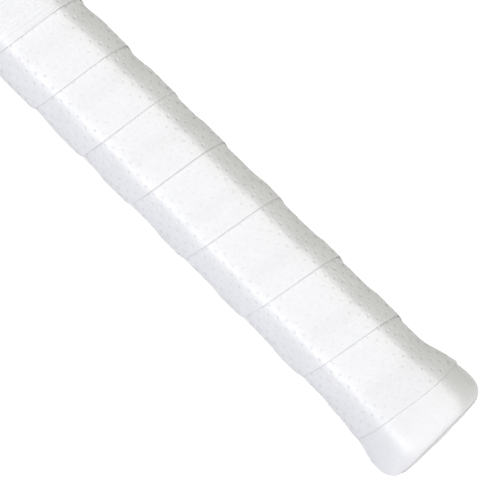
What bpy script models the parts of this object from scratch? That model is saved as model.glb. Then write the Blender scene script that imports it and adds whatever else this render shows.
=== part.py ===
"""Racket handle wrapped in a perforated grip tape.

The handle lies on its side, with its widest flats facing up and down. It points along X, with
the butt at +X and the cut-off shaft at -X. Inside the model a place is given by three numbers:
its distance from the butt's end face, its station around the handle, and its level, which is
the rounding radius added to the handle's sharp core octagon.
"""
import bpy
import bmesh
from math import ceil, cos, floor, pi, radians, sin, sqrt, tau
from mathutils import Vector

# ---- Driving dimensions, in metres ---------------------------------------------------------
# Core octagon: the corner centres that every layer of the handle is rounded around
CORE_HALF_WIDTH = 0.0115
CORE_HALF_DEPTH = 0.0096
CORE_HALF_FLAT = 0.0071
ARC_STEPS = 2

HANDLE_LENGTH = 0.200
SHAFT_END = 0.238
GAP = 0.0003
FILM_GAP = 0.00015

# Levels of the layers on the straight part of the handle
PALLET_LEVEL = 0.0015
PALLET_END_LEVEL = 0.0005
ADHESIVE_LEVELS = (0.00165, 0.00185)
CUSHION_LEVEL = 0.0020
CUSHION_THICKNESS = 0.00175
CUSHION_SWELL = 0.0004
TAPE_THICKNESS = 0.00055
TAPE_LAYER_GAP = 0.0001
FLARE_LAYER_GAP = 0.0003

# Flare of the butt
FLARE_TOP = 0.0265
FLARE_WIDEST = 0.007
FLARE_RISE = 0.0029
RIM_DROP = 0.0072
RIM_POWER = 2.5
CUSHION_THINNING = 0.0006

# Butt cap and its trap door
CAP_WALL = 0.0030
CAP_SLEEVE_END = 0.034
CAP_CAVITY_LEVEL = 0.0008
CAP_LIP = 0.0005
CAP_FLANGE = (0.0007, 0.0015, 0.0030, 0.0035)
WINDOW_SCALE = 0.72
RECESS_SCALE = 0.80
WINDOW_LEVEL = 0.0010
RECESS_DEPTH = 0.0013
DISC_SCALE = 0.45
DISC_LEVEL = 0.0015
DISC_RECESS = 0.0007
LEG_HALF_WIDTH = 0.0015
LEG_HEIGHTS = (0.0024, 0.0038)
LEG_END = 0.0125

# Shaft tubes and the pallet around them
TUBE_CENTRE = 0.0065
TUBE_HALF_WIDTH = 0.0039
TUBE_HALF_DEPTH = 0.0070
TUBE_CORNER = 0.0034
TUBE_WALL = 0.0012
TUBE_START = 0.0044
PLUG_LENGTH = 0.010
PALLET_START = 0.0042
RIB_HALF_WIDTH = 0.0012
RIB_TIP = 0.0045
ADHESIVE_HALF_WIDTH = 0.005
ADHESIVE_MARGINS = (0.003, 0.001)

# Cushion grip: one strip, laid edge to edge
CUSHION_START = 0.0038
CUSHION_FIRST_WIDTH = 0.007
CUSHION_PITCH = 0.027
CUSHION_END = 0.1965
CUSHION_TAPE_START = 0.1885
CUSHION_TAPE_END = 0.1985
CUSHION_SQUEEZE = 0.0003
SQUEEZE_LEAD = 0.004
SQUEEZE_RAMP = 0.003
CUSHION_SPANS = 7

# Grip tape: one strip, each turn lapped over the turn nearer the butt
TAPE_WIDTH = 0.030
TAPE_START = 0.0008
TAPE_TIP_WIDTH = 0.006
TAPE_LEAD_IN = 0.80
TAPE_FULL_AFTER = 0.60
TAPE_END = 0.194
TAPE_LAST_WIDTH = 0.006
TAPE_LAP_RAMP = 0.0016
TAPE_LAP_MARGIN = 0.0030
TAPE_RIM_ROWS = (0, 0.0007, 0.0022, 0.0050)
TAPE_FRONT_LAG = 0.28
FIRST_EDGE = 0.01345
FIRST_HOLD = 0.01225
FIRST_RISE = (0.15, 0.72)
FIRST_SOFTNESS = 0.00045
BUTT_PITCH = 0.0247
THROAT_PITCH = 0.0198
PITCH_CHANGE_FROM = 3.5
PITCH_CHANGE_TO = 6.0

# End tape and rubber collar
END_TAPE = (0.182, 0.1965)
END_TAPE_THICKNESS = 0.00015
COLLAR_START = 0.1925
COLLAR_LENGTH = 0.0145

# Staples
STAPLE_WIRE = 0.0007
STAPLE_CROWN = 0.00056
STAPLE_HALF_SPAN = 0.0045
CAP_STAPLE_AT = 0.020
CAP_STAPLE_LEVEL = 0.0028
CAP_STAPLE_TIP = 0.0082
GRIP_STAPLE_AT = 0.0105
GRIP_STAPLE_DEPTH = 0.0055

BUTT_X = SHAFT_END / 2


# ---- The handle's shape ----------------------------------------------------------------------
def smooth(t):
    t = min(max(t, 0.0), 1.0)
    return t * t * (3 - 2 * t)


def octagon_stations():
    """Stations around the core octagon, from the middle of the upper flat towards -Y."""
    side_half_flat = CORE_HALF_DEPTH - (CORE_HALF_WIDTH - CORE_HALF_FLAT)
    quarter = [(CORE_HALF_FLAT, CORE_HALF_DEPTH), (CORE_HALF_WIDTH, side_half_flat)]
    corners = [(-y, z) for y, z in quarter] + [(-y, -z) for y, z in reversed(quarter)]
    corners += [(y, -z) for y, z in quarter] + [(y, z) for y, z in reversed(quarter)]
    stations = []
    for index, (y, z) in enumerate(corners):
        for step in range(ARC_STEPS + 1):
            angle = radians(45) * (index + step / ARC_STEPS)
            stations.append((Vector((0, y, z)), Vector((0, -sin(angle), cos(angle)))))
    return stations


STATIONS = octagon_stations()
COUNT = len(STATIONS)


def station_turns():
    """Each station's place around the handle, as a fraction of a turn along the tape's level."""
    level = CUSHION_LEVEL + CUSHION_THICKNESS + TAPE_THICKNESS
    points = [core + out * level for core, out in STATIONS]
    places = [abs(points[0].y)]
    for before, after in zip(points, points[1:]):
        places.append(places[-1] + (after - before).length)
    whole = places[-1] + abs(points[-1].y)
    return [place / whole for place in places]


TURNS = station_turns()


def place(station, level, distance, scale=1.0):
    """The point at a station, level and distance; scale shrinks the core octagon."""
    core, out = STATIONS[station % COUNT]
    return core * scale + out * level + Vector((BUTT_X - distance, 0, 0))


def flare(distance):
    """How far the butt's flare lifts every layer."""
    if distance < FLARE_WIDEST:
        t = (FLARE_WIDEST - distance) / FLARE_WIDEST
        return FLARE_RISE - RIM_DROP * (1 - (1 - t ** RIM_POWER) ** (1 / RIM_POWER))
    return FLARE_RISE * flare_share(distance)


def flare_share(distance):
    return smooth((FLARE_TOP - distance) / (FLARE_TOP - FLARE_WIDEST))


def cushion_outside(distance):
    """The cushion grip is pulled thinner towards the throat, and its end tape squeezes it."""
    swell = CUSHION_SWELL * (1 - distance / HANDLE_LENGTH)
    squeeze = CUSHION_SQUEEZE * smooth((distance - CUSHION_TAPE_START + SQUEEZE_LEAD) / SQUEEZE_RAMP)
    return CUSHION_LEVEL + CUSHION_THICKNESS + swell + flare(distance) - squeeze


def cushion_inside(distance):
    swell = CUSHION_SWELL * (1 - distance / HANDLE_LENGTH)
    thinning = CUSHION_THINNING * flare_share(distance)
    thickness = CUSHION_THICKNESS + swell - thinning
    return CUSHION_LEVEL + CUSHION_THICKNESS + swell + flare(distance) - thickness


def cap_outside(distance):
    """The butt cap under the cushion grip, with more room where the flare curves."""
    return cushion_inside(distance) - FILM_GAP - FLARE_LAYER_GAP * flare_share(distance)


def tape_inside(distance):
    swell = CUSHION_SWELL * (1 - distance / HANDLE_LENGTH)
    room = FILM_GAP + FLARE_LAYER_GAP / 2 * flare_share(distance)
    return CUSHION_LEVEL + CUSHION_THICKNESS + swell + flare(distance) + room


def tape_outside(distance):
    return tape_inside(distance) + TAPE_THICKNESS


def tape_lift(distance):
    """How much higher a lapped turn lies than a turn that lies on the cushion."""
    return TAPE_THICKNESS + TAPE_LAYER_GAP + FLARE_LAYER_GAP * flare_share(distance)


# ---- Mesh helpers ------------------------------------------------------------------------------
def clear_scene():
    for item in list(bpy.data.objects):
        bpy.data.objects.remove(item, do_unlink=True)


def material(name, color, roughness, metallic=0.0):
    made = bpy.data.materials.new(name)
    made.use_nodes = True
    shader = made.node_tree.nodes["Principled BSDF"]
    shader.inputs["Base Color"].default_value = (*color, 1)
    shader.inputs["Roughness"].default_value = roughness
    shader.inputs["Metallic"].default_value = metallic
    return made


def add_object(name, mesh, surface, smooth_angle=30):
    item = bpy.data.objects.new(name, mesh)
    bpy.context.scene.collection.objects.link(item)
    if surface:
        mesh.materials.append(surface)
        mesh.shade_smooth()
        mesh.set_sharp_from_angle(angle=radians(smooth_angle))
    return item


def loft(name, loops, surface, closed=False):
    """A body through loops of equal length, capped at both ends unless it closes on itself."""
    work = bmesh.new()
    rows = [[work.verts.new(point) for point in loop] for loop in loops]
    spans = list(zip(rows, rows[1:]))
    if closed:
        spans.append((rows[-1], rows[0]))
    else:
        work.faces.new(rows[0])
        work.faces.new(rows[-1])
    for near, far in spans:
        for index in range(len(near)):
            after = (index + 1) % len(near)
            work.faces.new((near[index], near[after], far[after], far[index]))
    bmesh.ops.recalc_face_normals(work, faces=work.faces)
    mesh = bpy.data.meshes.new(name)
    work.to_mesh(mesh)
    work.free()
    return add_object(name, mesh, surface)


def ring(distance, level, scale=1.0):
    return [place(station, level, distance, scale) for station in range(COUNT)]


def sleeve(name, profile, surface):
    """A band round the handle: profile is its closed section, as (distance, level, scale)."""
    return loft(name, [ring(*point) for point in profile], surface, closed=True)


def stopper(name, profile, surface):
    """A solid across the handle: profile runs along X, as (distance, level, scale)."""
    return loft(name, [ring(*point) for point in profile], surface)


def wound_strip(name, steps, section, surface):
    """A strip wound round the handle; section(step) gives its (distance, inside, outside)."""
    loops = []
    for step in steps:
        rows = section(step)
        outer = [place(step, outside, distance) for distance, inside, outside in rows]
        inner = [place(step, inside, distance) for distance, inside, outside in reversed(rows)]
        loops.append(outer + inner)
    return loft(name, loops, surface)


def box(name, low, high, surface=None):
    """A box between two corners given as (distance, y, z)."""
    low, high = Vector(low), Vector(high)
    corners = [(low.y, low.z), (high.y, low.z), (high.y, high.z), (low.y, high.z)]
    loops = [[Vector((BUTT_X - distance, y, z)) for y, z in corners] for distance in (low.x, high.x)]
    return loft(name, loops, surface)


def as_tool(item):
    item.hide_render = True
    item.display_type = "WIRE"
    return item


def combine(item, tool, operation):
    change = item.modifiers.new(f"{operation.lower()}_{tool.name}", "BOOLEAN")
    change.operation = operation
    change.solver = "EXACT"
    change.object = as_tool(tool)


# ---- Shaft and pallet ----------------------------------------------------------------------------
def rounded_box_outline(centre, half_width, half_depth, corner):
    outline = []
    for quadrant in range(4):
        start = radians(90) * quadrant
        y_sign = 1 if quadrant in (0, 3) else -1
        z_sign = 1 if quadrant in (0, 1) else -1
        for step in range(4):
            angle = start + radians(30) * step
            y = centre + y_sign * (half_width - corner) + corner * cos(angle)
            z = z_sign * (half_depth - corner) + corner * sin(angle)
            outline.append((y, z))
    return outline


def outline_at(outline, distance):
    return [Vector((BUTT_X - distance, y, z)) for y, z in outline]


def tube_outline(side, inset):
    return rounded_box_outline(side * TUBE_CENTRE, TUBE_HALF_WIDTH - inset,
                               TUBE_HALF_DEPTH - inset, TUBE_CORNER - inset)


def make_shaft_tube(name, side, surface):
    outer = tube_outline(side, 0)
    inner = tube_outline(side, TUBE_WALL)
    loops = [outline_at(outer, TUBE_START), outline_at(outer, SHAFT_END),
             outline_at(inner, SHAFT_END), outline_at(inner, TUBE_START)]
    return loft(name, loops, surface, closed=True)


def make_foam_plug(name, side, surface):
    outline = tube_outline(side, TUBE_WALL + GAP)
    start = TUBE_START + GAP
    return loft(name, [outline_at(outline, start), outline_at(outline, start + PLUG_LENGTH)], surface)


def pallet_outline(level, upper):
    """Section of one pallet half: half an octagon, hollow for the tubes, with a rib between."""
    outside = [core + out * level for core, out in STATIONS if core.z > 0]
    outside.sort(key=lambda point: point.y)
    reach = CORE_HALF_WIDTH + level
    cavity_width = TUBE_CENTRE + TUBE_HALF_WIDTH + GAP
    cavity_depth = TUBE_HALF_DEPTH + GAP
    corner = TUBE_CORNER + GAP
    split = GAP / 2
    points = [(-reach, split)]
    points += [(point.y, point.z) for point in outside]
    points += [(reach, split), (cavity_width, split)]
    for step in range(4):
        angle = radians(30) * step
        points.append((cavity_width - corner + corner * cos(angle),
                       cavity_depth - corner + corner * sin(angle)))
    points += [(RIB_HALF_WIDTH, cavity_depth), (RIB_HALF_WIDTH, RIB_TIP),
               (-RIB_HALF_WIDTH, RIB_TIP), (-RIB_HALF_WIDTH, cavity_depth)]
    for step in range(3, -1, -1):
        angle = radians(30) * step
        points.append((-cavity_width + corner - corner * cos(angle),
                       cavity_depth - corner + corner * sin(angle)))
    points.append((-cavity_width, split))
    sign = 1 if upper else -1
    return [(y, sign * z) for y, z in points]


def make_pallet_half(name, upper, surface):
    """The butt end is stepped in, to take the sleeve of the butt cap."""
    stations = [(PALLET_START, PALLET_END_LEVEL),
                (CAP_SLEEVE_END + GAP, PALLET_END_LEVEL),
                (CAP_SLEEVE_END + 3 * GAP, PALLET_LEVEL),
                (HANDLE_LENGTH, PALLET_LEVEL)]
    loops = [outline_at(pallet_outline(level, upper), distance) for distance, level in stations]
    return loft(name, loops, surface)


def make_adhesive(name, sign, surface):
    heights = [sign * (CORE_HALF_DEPTH + level) for level in ADHESIVE_LEVELS]
    start = CAP_SLEEVE_END + ADHESIVE_MARGINS[0]
    end = CUSHION_END - ADHESIVE_MARGINS[1]
    return box(name, (start, -ADHESIVE_HALF_WIDTH, min(heights)),
               (end, ADHESIVE_HALF_WIDTH, max(heights)), surface)


# ---- Butt cap ------------------------------------------------------------------------------------
def make_butt_cap(surface):
    lip = [0, 0.0002, CAP_LIP]
    seat = [CAP_FLANGE[-1] + 0.0001, 0.005, 0.007, 0.0095, 0.012, 0.0145, 0.017, 0.020, 0.023, 0.028]
    profile = [(distance, tape_outside(distance), 1) for distance in lip]
    profile += [(distance, tape_inside(distance) - GAP, 1) for distance in CAP_FLANGE]
    profile += [(distance, cap_outside(distance), 1) for distance in seat]
    profile += [(CAP_SLEEVE_END, cap_outside(CAP_SLEEVE_END), 1),
                (CAP_SLEEVE_END, CAP_CAVITY_LEVEL, 1),
                (CAP_WALL, CAP_CAVITY_LEVEL, 1),
                (CAP_WALL, WINDOW_LEVEL, WINDOW_SCALE),
                (RECESS_DEPTH, WINDOW_LEVEL, WINDOW_SCALE),
                (RECESS_DEPTH, WINDOW_LEVEL, RECESS_SCALE),
                (0, WINDOW_LEVEL, RECESS_SCALE)]
    return sleeve("butt_cap", profile, surface)


def make_trap_door(surface):
    level = WINDOW_LEVEL - GAP
    profile = [(CAP_WALL + GAP, level, WINDOW_SCALE),
               (RECESS_DEPTH - GAP, level, WINDOW_SCALE),
               (RECESS_DEPTH - GAP, level, RECESS_SCALE),
               (GAP, level, RECESS_SCALE),
               (0, level - GAP, RECESS_SCALE),
               (0, DISC_LEVEL, DISC_SCALE),
               (DISC_RECESS, DISC_LEVEL, DISC_SCALE)]
    door = stopper("trap_door", profile, surface)
    for name, sign in (("upper_leg_shape", 1), ("lower_leg_shape", -1)):
        heights = sorted(sign * height for height in LEG_HEIGHTS)
        leg = box(name, (CAP_WALL - GAP, -LEG_HALF_WIDTH, heights[0]),
                  (LEG_END, LEG_HALF_WIDTH, heights[1]))
        combine(door, leg, "UNION")
    return door


def make_door_disc(surface):
    level = DISC_LEVEL - GAP
    profile = [(DISC_RECESS - GAP, level, DISC_SCALE), (2 * FILM_GAP / 3, level, DISC_SCALE),
               (0, level - FILM_GAP, DISC_SCALE)]
    return stopper("trap_door_disc", profile, surface)


# ---- Strips ----------------------------------------------------------------------------------------
def turn_of(step):
    return step // COUNT + TURNS[step % COUNT]


def cushion_edges(turn):
    """Butt-side and throat-side edges of the cushion grip; its first turn follows the rim."""
    far = CUSHION_START + CUSHION_FIRST_WIDTH + CUSHION_PITCH * turn
    near = far - CUSHION_PITCH + GAP
    return max(near, CUSHION_START), min(far, CUSHION_END)


def cushion_section(step):
    near, far = cushion_edges(turn_of(step))
    distances = [near + (far - near) * share / CUSHION_SPANS for share in range(CUSHION_SPANS + 1)]
    return [(distance, cushion_inside(distance), cushion_outside(distance))
            for distance in distances]


def make_cushion_grip(surface):
    turns = (CUSHION_END - CUSHION_START - CUSHION_FIRST_WIDTH) / CUSHION_PITCH + 1
    last = floor(turns * COUNT) - 2
    return wound_strip("cushion_grip", range(0, last), cushion_section, surface)


def edge_after(turn):
    """Butt-side edge of the grip tape's helix after the given turn."""
    shift = PITCH_CHANGE_TO - PITCH_CHANGE_FROM
    t = min(max((turn - PITCH_CHANGE_FROM) / shift, 0.0), 1.0)
    eased = shift * (t ** 3 - t ** 4 / 2) + max(turn - PITCH_CHANGE_TO, 0.0)
    return FIRST_EDGE + BUTT_PITCH * (turn - 1) - (BUTT_PITCH - THROAT_PITCH) * eased


def tape_near_edge(turn):
    """The first turn follows the rim, climbs the flare and joins the helix."""
    begin, end = FIRST_RISE
    climb = TAPE_START + (FIRST_HOLD - TAPE_START) * smooth((turn - begin) / (end - begin))
    helix = edge_after(turn - TAPE_FRONT_LAG * sin(tau * turn) / tau)
    half = (helix - climb) / 2
    return climb + half + sqrt(half * half + FIRST_SOFTNESS ** 2)


def tape_width(turn):
    share = (turn + TAPE_LEAD_IN) / (TAPE_LEAD_IN + TAPE_FULL_AFTER)
    return TAPE_TIP_WIDTH + (TAPE_WIDTH - TAPE_TIP_WIDTH) * min(max(share, 0.0), 1.0)


def tape_far_edge(turn):
    return min(tape_near_edge(turn) + tape_width(turn), TAPE_END)


def tape_first_step():
    return -ceil(TAPE_LEAD_IN * COUNT)


def tape_section(step):
    """Section of the grip tape: raised where it lies on the turn before it."""
    turn = turn_of(step)
    near, far = tape_near_edge(turn), tape_far_edge(turn)
    lapped = step - COUNT >= tape_first_step() - 1
    lap_end = tape_far_edge(turn - 1) + GAP if lapped else near + (far - near) / 3
    drops = lapped and lap_end + TAPE_LAP_RAMP + TAPE_LAP_MARGIN < far
    lap_end = min(lap_end, far - 3 * GAP)
    rest = lap_end + (TAPE_LAP_RAMP if drops or not lapped else GAP)
    reach = min(1.0, 0.8 * (lap_end - near) / TAPE_RIM_ROWS[-1])
    distances = [near + row * reach for row in TAPE_RIM_ROWS]
    distances += [lap_end, rest, rest + (far - rest) / 3, rest + (far - rest) * 2 / 3, far]
    rows = []
    for index, distance in enumerate(distances):
        lifted = lapped and (index <= len(TAPE_RIM_ROWS) or not drops)
        lift = tape_lift(distance) if lifted else 0
        rows.append((distance, tape_inside(distance) + lift, tape_outside(distance) + lift))
    return rows


def make_grip_tape(surface):
    last = tape_first_step()
    while tape_near_edge(turn_of(last)) < TAPE_END - TAPE_LAST_WIDTH:
        last += 1
    return wound_strip("grip_tape", range(tape_first_step(), last), tape_section, surface)


def band_profile(start, end, inside, outside):
    return [(start, inside, 1), (start, outside, 1), (end, outside, 1), (end, inside, 1)]


def make_cushion_end_tape(surface):
    inside = cushion_outside(CUSHION_TAPE_START) + 2 * FILM_GAP / 3
    return sleeve("cushion_end_tape", band_profile(CUSHION_TAPE_START, CUSHION_TAPE_END, inside,
                                                   inside + END_TAPE_THICKNESS), surface)


def make_end_tape(surface):
    start, end = END_TAPE
    inside = tape_outside(start) + tape_lift(start) + FILM_GAP
    profile = band_profile(start, end, inside, inside + END_TAPE_THICKNESS)
    return sleeve("grip_tape_end_band", profile, surface)


def make_collar(surface):
    """A rubber collar over the end band; its bead stands as proud as the butt's flare."""
    start, end = COLLAR_START, COLLAR_START + COLLAR_LENGTH
    seat = tape_outside(END_TAPE[0]) + tape_lift(0.1) + 2 * FILM_GAP + END_TAPE_THICKNESS
    bead = tape_outside(FLARE_WIDEST) + tape_lift(FLARE_WIDEST)
    outside = [(start, seat + 0.0006), (start + 0.0008, seat + 0.0012),
               (start + 0.003, bead - 0.0004), (start + 0.0045, bead), (start + 0.0065, bead),
               (start + 0.008, bead - 0.0004), (start + 0.011, seat + 0.0009),
               (end - 0.0006, seat - 0.0004), (end, seat - 0.0010)]
    inside = [(end, seat - 0.0018), (start + 0.0085, seat), (start, seat)]
    return sleeve("rubber_collar", [(*point, 1) for point in outside + inside], surface)


# ---- Staples -----------------------------------------------------------------------------------------
def staple_outline(top, crown, tip, grow, sign):
    """A U shape across the handle, from its crown inwards; grow widens it into its own slot."""
    span = STAPLE_HALF_SPAN + grow
    inner = STAPLE_HALF_SPAN - STAPLE_WIRE - grow
    points = [(-span, top), (-span, tip - grow), (-inner, tip - grow), (-inner, crown - grow),
              (inner, crown - grow), (inner, tip - grow), (span, tip - grow), (span, top)]
    return [(y, sign * z) for y, z in points]


def make_staple(name, at, top, tip, sign, surface):
    outline = staple_outline(top, top - STAPLE_CROWN, tip, 0, sign)
    half = STAPLE_WIRE / 2
    return loft(name, [outline_at(outline, at - half), outline_at(outline, at + half)], surface)


def make_staple_slot(name, at, top, tip, sign):
    outline = staple_outline(top + 0.004, top - STAPLE_CROWN, tip, GAP, sign)
    half = STAPLE_WIRE / 2 + GAP
    return loft(name, [outline_at(outline, at - half), outline_at(outline, at + half)], None)


# ---- Assembly ------------------------------------------------------------------------------------------
def make_fasteners(cap, halves, cushion, steel):
    top = CORE_HALF_DEPTH + CAP_STAPLE_LEVEL
    for half, side, sign in zip(halves, ("upper", "lower"), (1, -1)):
        name = f"butt_cap_staple_{side}"
        make_staple(name, CAP_STAPLE_AT, top, CAP_STAPLE_TIP, sign, steel)
        slot = make_staple_slot(f"{name}_slot", CAP_STAPLE_AT, top, CAP_STAPLE_TIP, sign)
        combine(cap, slot, "DIFFERENCE")
        combine(half, slot, "DIFFERENCE")

    top = CORE_HALF_DEPTH + cushion_outside(GRIP_STAPLE_AT) - GAP
    tip = top - GRIP_STAPLE_DEPTH
    make_staple("cushion_staple", GRIP_STAPLE_AT, top, tip, -1, steel)
    slot = make_staple_slot("cushion_staple_slot", GRIP_STAPLE_AT, top, tip, -1)
    combine(cap, slot, "DIFFERENCE")
    combine(cushion, slot, "DIFFERENCE")


def rest_on_ground():
    """Centres the handle and sets its lowest point on the ground, through one parent."""
    bpy.context.view_layer.update()
    solids = [item for item in bpy.data.objects if item.type == "MESH" and not item.hide_render]
    corners = [item.matrix_world @ Vector(corner) for item in solids for corner in item.bound_box]
    lows = [min(corner[axis] for corner in corners) for axis in range(3)]
    highs = [max(corner[axis] for corner in corners) for axis in range(3)]
    axis = bpy.data.objects.new("handle_axis", None)
    bpy.context.scene.collection.objects.link(axis)
    axis.location = (-(lows[0] + highs[0]) / 2, -(lows[1] + highs[1]) / 2, -lows[2])
    for item in list(bpy.data.objects):
        if item is not axis:
            item.parent = axis


def main():
    clear_scene()
    graphite = material("graphite", (0.03, 0.03, 0.035), 0.35)
    foam = material("pallet_foam", (0.55, 0.50, 0.38), 0.85)
    plug_foam = material("plug_foam", (0.12, 0.12, 0.13), 0.95)
    cap_plastic = material("cap_plastic", (0.80, 0.80, 0.79), 0.45)
    door_plastic = material("door_plastic", (0.72, 0.73, 0.74), 0.4)
    disc_plastic = material("disc_plastic", (0.60, 0.62, 0.64), 0.25)
    adhesive = material("adhesive", (0.85, 0.83, 0.70), 0.6)
    cushion_foam = material("cushion_foam", (0.75, 0.75, 0.74), 0.8)
    film = material("finishing_film", (0.82, 0.83, 0.84), 0.3)
    tape = material("tape", (0.88, 0.88, 0.88), 0.4)
    rubber = material("rubber", (0.70, 0.70, 0.70), 0.65)
    steel = material("staple_steel", (0.60, 0.60, 0.62), 0.35, 1.0)

    make_shaft_tube("shaft_tube_left", 1, graphite)
    make_shaft_tube("shaft_tube_right", -1, graphite)
    make_foam_plug("tube_plug_left", 1, plug_foam)
    make_foam_plug("tube_plug_right", -1, plug_foam)
    halves = [make_pallet_half("pallet_upper", True, foam),
              make_pallet_half("pallet_lower", False, foam)]
    make_adhesive("adhesive_strip_upper", 1, adhesive)
    make_adhesive("adhesive_strip_lower", -1, adhesive)
    cap = make_butt_cap(cap_plastic)
    make_trap_door(door_plastic)
    make_door_disc(disc_plastic)
    cushion = make_cushion_grip(cushion_foam)
    make_cushion_end_tape(film)
    make_grip_tape(tape)
    make_end_tape(film)
    make_collar(rubber)
    make_fasteners(cap, halves, cushion, steel)
    rest_on_ground()


main()
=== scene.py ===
"""Looks of a racket handle wound with a perforated grip tape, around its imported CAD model.

Places on the handle are given by a turn (whole turns round the handle, zero in the middle of
the upper flat, counted towards -Y), a distance from the butt's end face, and a level, which is
the rounding radius added to the handle's core octagon. All lengths are in metres.
"""
from math import atan, cos, pi, radians, sin, sqrt, tau

import bmesh
import bpy
import numpy as np
from mathutils import Matrix, Vector


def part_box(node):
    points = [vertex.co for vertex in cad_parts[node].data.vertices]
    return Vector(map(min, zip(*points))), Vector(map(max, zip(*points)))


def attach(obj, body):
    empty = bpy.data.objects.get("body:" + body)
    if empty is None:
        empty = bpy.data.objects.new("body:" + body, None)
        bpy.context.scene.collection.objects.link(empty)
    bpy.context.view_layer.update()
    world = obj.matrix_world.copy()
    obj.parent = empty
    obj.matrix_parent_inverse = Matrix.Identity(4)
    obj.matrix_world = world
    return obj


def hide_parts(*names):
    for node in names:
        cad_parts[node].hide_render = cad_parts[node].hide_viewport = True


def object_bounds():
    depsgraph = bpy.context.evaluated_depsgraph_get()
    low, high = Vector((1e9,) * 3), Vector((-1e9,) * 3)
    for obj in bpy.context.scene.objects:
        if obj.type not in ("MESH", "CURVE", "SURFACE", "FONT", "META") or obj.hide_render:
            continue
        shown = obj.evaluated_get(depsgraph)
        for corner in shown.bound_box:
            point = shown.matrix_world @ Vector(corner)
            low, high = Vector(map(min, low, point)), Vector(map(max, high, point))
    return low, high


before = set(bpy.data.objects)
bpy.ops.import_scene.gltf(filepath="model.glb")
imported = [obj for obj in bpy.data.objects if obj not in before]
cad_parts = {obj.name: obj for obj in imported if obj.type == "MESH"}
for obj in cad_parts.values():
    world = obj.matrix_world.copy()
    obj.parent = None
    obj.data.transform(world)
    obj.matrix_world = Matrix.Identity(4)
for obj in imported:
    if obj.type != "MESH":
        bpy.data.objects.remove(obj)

CAD_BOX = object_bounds()

# ---- Places read from the frame ------------------------------------------------------------------
BUTT_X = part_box("butt_cap")[1].x
AXIS_Z = (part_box("pallet_lower")[0].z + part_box("pallet_upper")[1].z) / 2
SHAFT_END = BUTT_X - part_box("shaft_tube_left")[0].x
HANDLE_LENGTH = BUTT_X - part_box("pallet_upper")[0].x
TUBE_START = BUTT_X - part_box("shaft_tube_left")[1].x
TUBE_CENTRE = (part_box("shaft_tube_left")[0].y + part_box("shaft_tube_left")[1].y) / 2
TUBE_HALF_WIDTH = (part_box("shaft_tube_left")[1].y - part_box("shaft_tube_left")[0].y) / 2
TUBE_HALF_DEPTH = (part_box("shaft_tube_left")[1].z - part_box("shaft_tube_left")[0].z) / 2
PLUG_END = BUTT_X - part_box("tube_plug_left")[0].x
COLLAR_START = BUTT_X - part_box("rubber_collar")[1].x
COLLAR_END = BUTT_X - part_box("rubber_collar")[0].x

# ---- Driving dimensions, as in the CAD model -----------------------------------------------------
CORE_HALF_WIDTH = 0.0115
CORE_HALF_DEPTH = 0.0096

CUSHION_OUTSIDE = 0.00375
CUSHION_SWELL = 0.0004
CUSHION_THICKNESS = 0.00175
CUSHION_THINNING = 0.0006
FLARE_TOP = 0.0265
FLARE_WIDEST = 0.007
FLARE_RISE = 0.0029
RIM_DROP = 0.0072
RIM_POWER = 2.5
FILM_GAP = 0.00015
GAP = 0.0003

CAP_WALL = 0.0030
CAP_SLEEVE_END = 0.034
CAP_CAVITY_LEVEL = 0.0008
CAP_LIP = 0.00076
CAP_FLANGE_END = 0.0035
WINDOW_SCALE = 0.72
RECESS_SCALE = 0.80
WINDOW_LEVEL = 0.0010
RECESS_DEPTH = 0.0013
DISC_SCALE = 0.45
DISC_LEVEL = 0.0015
DISC_RECESS = 0.0007
LEG_HALF_WIDTH = 0.0015
LEG_HEIGHTS = (0.0024, 0.0038)
LEG_END = 0.0125

TUBE_CORNER = 0.0034
TUBE_WALL = 0.0012

CUSHION_START = 0.0038
CUSHION_FIRST_WIDTH = 0.007
CUSHION_PITCH = 0.027
CUSHION_END = 0.1965
CUSHION_TAPE = (0.1885, 0.1985)

TAPE_WIDTH = 0.030
TAPE_THICKNESS = 0.0005
TAPE_START = 0.0008
TAPE_TIP_WIDTH = 0.006
TAPE_LEAD_IN = 0.80
TAPE_FULL_AFTER = 0.60
TAPE_END = 0.194
TAPE_FRONT_LAG = 0.28
FIRST_EDGE = 0.01345
FIRST_HOLD = 0.01225
FIRST_RISE = (0.15, 0.72)
FIRST_SOFTNESS = 0.00045
BUTT_PITCH = 0.0247
THROAT_PITCH = 0.0198
PITCH_CHANGE_FROM = 3.5
PITCH_CHANGE_TO = 6.0
END_BAND = (0.1838, 0.1965)
END_BAND_LEVELS = (0.00518, 0.00533)
COLLAR_SEAT = 0.0056
COLLAR_BEAD = 0.00885

# ---- Detail of the soft layers -------------------------------------------------------------------
SOFT_HALF_FLAT = 0.0074
SECTION_SOFTNESS = ((0.0044, 0.72), (0.0130, 0.28))
SECTION_SAMPLES = 1440
RING_POINTS = 144
BEND_REACH = 0.018
BEND_FULL = 0.45
TAPE_ON_CUSHION = 0.0007
TAPE_LIFT = 0.00055
LAP_SOFTNESS = 0.0064
LAP_CLEARANCE = 0.0002
LAP_BEGINS = 0.04
RIPPLE_FADE = 0.004
FOLD_SPACINGS = (0.0031, 0.0047)
FOLD_HEIGHT = 0.00003
TAPE_ROWS = 42
STEP = TAPE_WIDTH / TAPE_ROWS
EDGE_RADIUS = 0.00025
EDGE_ROWS = (0.0, 0.00003, 0.00010, EDGE_RADIUS)
LAST_TURN = 8.95
PIT_COLUMNS = 6
PIT_ROWS = 3
PIT_RINGS = ((0.00060, 0.00001), (0.00046, 0.00006), (0.00024, 0.00011))
PIT_DEPTH = 0.00012
# PIT_SHADE_DEPTH is the pit depth at which the painted shade inside a pit is full.
PIT_SHADE_DEPTH = 0.00008
PIT_POINTS = 8
PIT_CLEARANCE = 0.0008
FIRST_PIT_TURN = 0.80
SMOOTH_TOP_TURN = 7.93
TOP_PITS_KEPT = 0.45
TOP_PIT_DEPTH = 0.5
DRAG_LEAD = 0.016
UNDERSIDE_ROWS = 15
CUSHION_STEPS = 72
CUSHION_EDGE_FALL = 0.0005
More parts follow.
